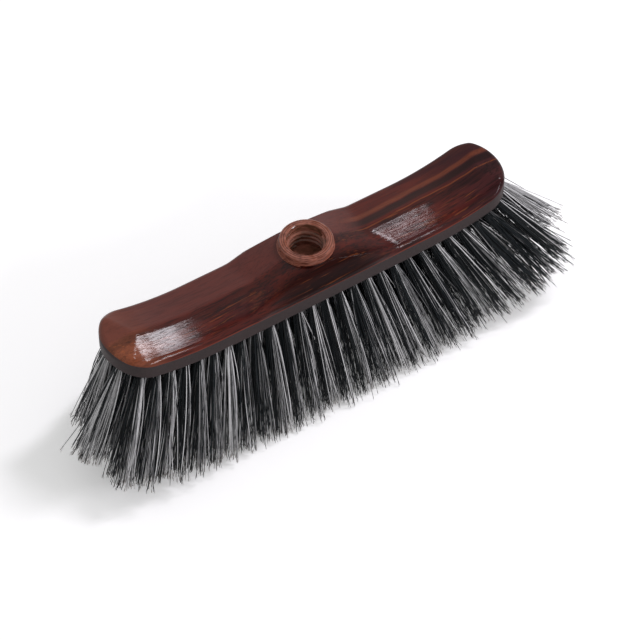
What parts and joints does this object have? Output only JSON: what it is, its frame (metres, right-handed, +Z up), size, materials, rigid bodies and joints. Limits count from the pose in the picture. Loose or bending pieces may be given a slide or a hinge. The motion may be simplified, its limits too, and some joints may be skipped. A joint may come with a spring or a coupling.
{
  "type": "broom head",
  "caption": "Hand broom head with a wood-finished block, upturned ends, fanned dark and grey bristles and a threaded socket for a screw-in handle.",
  "frame": {"origin": "on the floor, under the middle of the block, level with the tips of the bristles in the middle", "axes": "+X along the block towards its right end, -Y towards its front, +Z up out of the handle socket"},
  "size_m": [0.3516, 0.1046, 0.1055],
  "materials": {
    "wood_finish": "dark red-brown wood-grain finish under clear lacquer",
    "plate_plastic": "matt dark brown moulded plastic",
    "bristle_dark": "black synthetic bristles",
    "bristle_grey": "light grey synthetic bristles",
    "anchor_steel": "plain flat steel wire"
  },
  "bodies": {
    "root": {"block_cover": "wood_finish", "tuft_plate": "plate_plastic", "tufts_left_end": "bristle_grey", "tuft_column_01": "bristle_dark", "tuft_column_02": "bristle_dark", "tuft_column_03": "bristle_dark", "tuft_column_04": "bristle_dark", "tuft_column_05": "bristle_dark", "tuft_column_06": "bristle_dark", "tuft_column_07": "bristle_dark", "tuft_column_08": "bristle_dark", "tuft_column_09": "bristle_dark", "tuft_column_10": "bristle_dark", "tuft_column_11": "bristle_dark", "tuft_column_12": "bristle_dark", "tuft_column_13": "bristle_dark", "tuft_column_14": "bristle_dark", "tuft_column_15": "bristle_dark", "tuft_column_16": "bristle_dark", "tuft_column_17": "bristle_dark", "tuft_column_18": "bristle_dark", "tuft_column_19": "bristle_dark", "tuft_column_20": "bristle_dark", "tuft_column_21": "bristle_dark", "tuft_column_22": "bristle_dark", "tuft_column_23": "bristle_dark", "tuft_column_24": "bristle_dark", "tuft_column_25": "bristle_dark", "tuft_column_26": "bristle_dark", "tuft_column_27": "bristle_dark", "tufts_right_end": "bristle_grey", "anchors_front_row": "anchor_steel", "anchors_front_inner_row": "anchor_steel", "anchors_rear_inner_row": "anchor_steel", "anchors_rear_row": "anchor_steel"}
  },
  "joints": []
}
